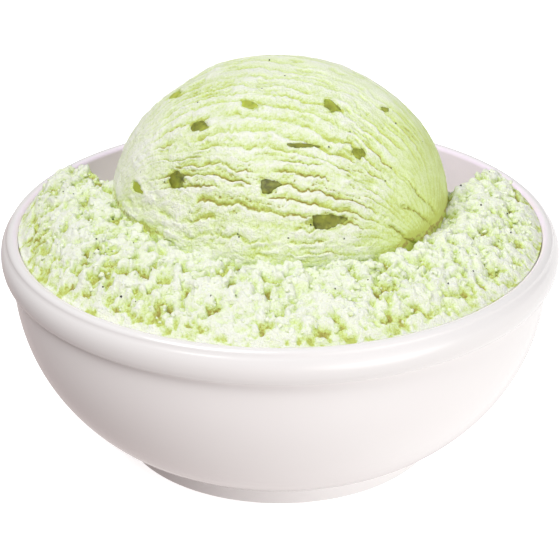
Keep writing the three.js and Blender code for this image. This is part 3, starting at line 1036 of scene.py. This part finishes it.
def makeBed():
    # one closed net: a point under the ball, the hollow that the ball sits in, the crumbly top out
    # to the wall, and the inside of the bowl down to its floor
    angle = 2 * np.pi * np.arange(bed["columns"]) / bed["columns"]
    low = hollowShare(ball["radius"] * np.cos(angle), ball["radius"] * np.sin(angle))
    inner = ball["radius"] - lerp(1.7, 9, low)
    top, lime, brown = bedTop(angle, inner)
    rings = [ringAt(angle, inner * share, underBall(inner * share)) for share in (0.25, 0.5, 0.75, 0.9)]
    inner = inner - 0.05
    rings.append(ringAt(angle, inner, np.minimum(underBall(inner), top[0, :, 2] - 0.3)))
    start = 1 + len(rings) * bed["columns"]
    rings.extend(top)
    for share in (0.15, 0.4, 0.65, 0.9):
        rings.append(ringAt(angle, *insideCurve([share], bed["gap"])[0]))
    floor = bowl["floorHeight"] + bed["gap"]
    rings.append(ringAt(angle, bowl["floorDiameter"] / 2, floor))
    points = np.concatenate([[(0, 0, underBall(0))], np.concatenate(rings), [(0, 0, floor)]])
    shown = slice(start, start + lime.size)
    limes, pits = np.full(len(points), 0.4), np.zeros(len(points))
    limes[shown], pits[shown] = lime.ravel(), brown.ravel()
    faces = netFaces(len(rings), bed["columns"])
    tints = {"lime": limes, "pit": pits, "grit": np.ones(len(points))}
    piece = makeMesh("bed_of_ice_cream", points, faces, iceCream, tints)
    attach(piece, "root")
    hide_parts("ice_cream_bed")


makeBed()

loose = {"count": 1500, "smallest": 0.2, "largest": 0.7, "squash": 0.6, "wallGap": 2.2, "seed": 5}


def blobForm():
    # a cube whose sides are cut in four, pushed out to a ball: its points and its faces
    line = np.array([-1, 0, 1])
    cube = np.stack(np.meshgrid(line, line, line, indexing="ij"), -1).reshape(-1, 3)
    keep = np.abs(cube).max(1) > 0
    number = np.cumsum(keep) - 1
    index = np.full((3, 3, 3), -1)
    index.ravel()[keep] = number[keep]
    faces = []
    for axis in range(3):
        for side in (0, 2):
            sheet = np.take(index, side, axis)
            for i in (0, 1):
                for j in (0, 1):
                    quad = [sheet[i, j], sheet[i + 1, j], sheet[i + 1, j + 1], sheet[i, j + 1]]
                    turned = (side == 2) != (axis == 1)
                    faces.append(quad if turned else quad[::-1])
    points = cube[keep].astype(float)
    return points / np.linalg.norm(points, axis=1, keepdims=True), np.array(faces)


def scatterBlobs(places, sizes, squash, rng):
    # the same small ball at each place, stretched, turned and dented at random: all points and faces,
    # and how far each point is above its ball's middle, as a share of the ball's size
    form, faces = blobForm()
    count = len(places)
    stretch = sizes[:, None] * lerp(squash, 1.25, rng.random((count, 3)))
    turns = rng.normal(size=(count, 3, 3))
    turns, _ = np.linalg.qr(turns)
    turns[:, :, 0] *= np.sign(np.linalg.det(turns))[:, None]
    dents = 1 + 0.22 * rng.normal(size=(count, len(form), 1)).clip(-1.5, 1.5)
    blobs = np.einsum("nij,npj->npi", turns, form[None] * stretch[:, None, :] * dents)
    points = (blobs + places[:, None, :]).reshape(-1, 3)
    allFaces = faces[None] + (np.arange(count) * len(form))[:, None, None]
    return points, allFaces.reshape(-1, 4), blobs[..., 2] / sizes[:, None]


def bedSurface(x, y):
    # points of the crumbly top, shifted sideways as in its net
    coarse, level = bedHeight(x, y)
    fine, shiftX, shiftY, _ = crumbRelief(x, y, level)
    calm = bedRoughness(x, y)
    return np.stack([x + shiftX * calm, y + shiftY * calm, coarse + fine * calm], -1)


def makeLooseCrumbs():
    # crumbs lie on the bed at random, most of them small, each sunk a little
    rng = np.random.default_rng(loose["seed"])
    count = loose["count"]
    angle = rng.random(count) * 2 * np.pi
    low = hollowShare(ball["radius"] * np.cos(angle), ball["radius"] * np.sin(angle))
    inner = ball["radius"] - lerp(0, 6, low)
    radius = np.sqrt(lerp(inner**2, (mouthRadius - loose["wallGap"]) ** 2, rng.random(count)))
    x, y = radius * np.cos(angle), radius * np.sin(angle)
    sizes = lerp(loose["smallest"], loose["largest"], rng.random(count) ** 2.6)
    places = bedSurface(x, y)
    places[:, 2] += sizes * lerp(-0.5, 0.05, rng.random(count))
    points, faces, above = scatterBlobs(places, sizes, loose["squash"], rng)
    # painted shade: each crumb limier on its underside, over a random tone
    lime = lerp(0.05, 0.35, rng.random(count))[:, None] + 0.55 * smooth(-above, -0.5, 0.6)
    tints = {"lime": lime, "pit": 0 * lime, "grit": 0.5 + 0 * lime}
    piece = makeMesh("loose_crumbs", points, [faces], iceCream, tints)
    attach(piece, "root")


makeLooseCrumbs()

specks = {
    "onBed": 75,
    "onBall": 40,
    "smallest": 0.11,
    "largest": 0.22,
    "squash": 0.6,
    "innerRadius": 36,
    "wallGap": 3,
    "bedLift": 0.08,
    "ballSink": 0.2,
    "seed": 8,
}


def makeSpecks():
    # specks lie on the bed and in the ball's skin at random, from ball to wall and from pole to pole
    rng = np.random.default_rng(specks["seed"])
    angle = rng.random(specks["onBed"]) * 2 * np.pi
    radius = lerp(specks["innerRadius"], mouthRadius - specks["wallGap"], rng.random(specks["onBed"]))
    x, y = radius * np.cos(angle), radius * np.sin(angle)
    bedPlaces = bedSurface(x, y) + np.array([0, 0, specks["bedLift"]])
    turn = rng.uniform(0.1, 2.9, specks["onBall"])
    fromLeft = rng.uniform(0.35, 2.8, specks["onBall"])
    form = formPoint(turn, fromLeft)
    sunk = dentAt(form) + specks["ballSink"]
    ballPlaces = form - formNormal(form) * sunk[:, None] + ballCentre
    places = np.concatenate([bedPlaces, ballPlaces])
    sizes = rng.uniform(specks["smallest"], specks["largest"], len(places))
    points, faces, _ = scatterBlobs(places, sizes, specks["squash"], rng)
    piece = makeMesh("dark_specks", points, [faces], speckSkin)
    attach(piece, "root")


makeSpecks()

studio = {
    "floor": tone(235, 234, 234),
    "floorCloud": tone(232, 232, 232),
    "floorGlow": 0.65,
    "floorSize": 8000,
    # the world's light by the height of its direction, from below and the horizon up to overhead
    "sky": (
        (0, (1.23, 1.21, 1.2, 1)),
        (0.04, (0.6, 0.59, 0.59, 1)),
        (0.5, (0.27, 0.26, 0.27, 1)),
        (0.85, (0.6, 0.59, 0.6, 1)),
    ),
    "shadeTint": (1, 0.8, 0.78, 1),
    "leftShade": 0.14,
    "darkSide": -0.86,
    "lightSide": 0.4,
    "overhead": 1.5,
    "windowWay": (0.62, -0.75, 0.1),
    "windowEdge": 0.8,
    "windowGlow": 2.9,
    "keyPlace": (-760, -840, 1930),
    "keyTarget": (0, 0, 40),
    "keySize": 1500,
    "keyPower": 35,
    "cameraDistance": 470,
    "cameraRise": 24.7,
    "focalShare": 4.84,
    "sensor": 36,
    "imagePixels": 560,
    "rimCentreRow": 224.1,
}


def makeFloor():
    # a pale square that glows a little, so that it shows as white
    half = studio["floorSize"] / 2
    corners = np.array([(-half, -half, 0), (half, -half, 0), (half, half, 0), (-half, half, 0)])
    board = Board(bpy.data.materials.new("pale_floor"))
    cloud = board.noise(board.place(), 400, 2)
    look = board.finish("Principled BSDF", {
        "Base Color": board.mix(cloud, studio["floor"], studio["floorCloud"]),
        "Roughness": 0.8,
        "Emission Color": (1, 1, 1, 1),
        "Emission Strength": studio["floorGlow"],
    })
    floor = makeMesh("floor", corners, [np.array([[0, 1, 2, 3]])], look)
    # the light from below comes from the world, so the floor neither lights the pieces nor shows in
    # their gloss
    floor.visible_diffuse = False
    floor.visible_glossy = False


def makeKeyLight():
    # a round soft light, turned towards its target
    light = bpy.data.lights.new("key", "AREA")
    light.shape = "DISK"
    light.size = studio["keySize"] * mm
    light.energy = studio["keyPower"]
    lamp = bpy.data.objects.new("key", light)
    bpy.context.scene.collection.objects.link(lamp)
    place, target = Vector(studio["keyPlace"]), Vector(studio["keyTarget"])
    lamp.location = place * mm
    lamp.rotation_euler = (target - place).to_track_quat("-Z", "Y").to_euler()


def makeStudio():
    # light from overhead and from the horizon, brighter light from below, all dimmer and redder from
    # the left, and a large soft window at the front right
    board = Board(bpy.data.worlds.new("studio"))
    way = board.node("ShaderNodeTexCoord", {}, {}, "Generated")
    height = board.node("ShaderNodeSeparateXYZ", {}, {0: way}, "Z")
    side = board.node("ShaderNodeSeparateXYZ", {}, {0: way}, "X")
    overhead = board.math("MAXIMUM", height, 0) * studio["overhead"]
    fromRight = board.clamp(side + overhead, studio["darkSide"], studio["lightSide"])
    window = {"operation": "DOT_PRODUCT"}
    facing = board.node("ShaderNodeVectorMath", window, {0: way, 1: studio["windowWay"]}, "Value")
    glow = board.clamp(facing, studio["windowEdge"], 1) * studio["windowGlow"]
    sky = board.ramp(height, studio["sky"])
    shade = board.mix(fromRight, studio["shadeTint"], (1, 1, 1, 1))
    tinted = {"data_type": "RGBA", "blend_type": "MULTIPLY"}
    bpy.context.scene.world = board.finish("Background", {
        "Color": board.node("ShaderNodeMix", tinted, {0: 1, 6: sky, 7: shade}, 2),
        "Strength": fromRight * (1 - studio["leftShade"]) + studio["leftShade"] + glow,
    })
    makeKeyLight()
    bpy.context.scene.view_settings.view_transform = "Standard"


def makeCamera():
    # it looks at the rim's centre from the photographed height, then tips down by the angle that
    # puts that centre at its own pixel
    rise = np.radians(studio["cameraRise"])
    far = studio["cameraDistance"]
    place = Vector((0, -far * np.cos(rise), bowl["height"] + far * np.sin(rise))) * mm
    above = studio["imagePixels"] / 2 - studio["rimCentreRow"]
    focal = studio["focalShare"] * far
    tip = np.arctan(above / focal)
    camera = bpy.data.cameras.new("camera")
    camera.sensor_width = studio["sensor"]
    camera.lens = studio["sensor"] * focal / studio["imagePixels"]
    camera.clip_start = 0.01
    camera.clip_end = 20
    holder = bpy.data.objects.new("camera", camera)
    bpy.context.scene.collection.objects.link(holder)
    holder.location = place
    holder.rotation_euler = (np.pi / 2 - rise - tip, 0, 0)
    bpy.context.scene.camera = holder


makeFloor()
makeStudio()
makeCamera()
print("studio done")
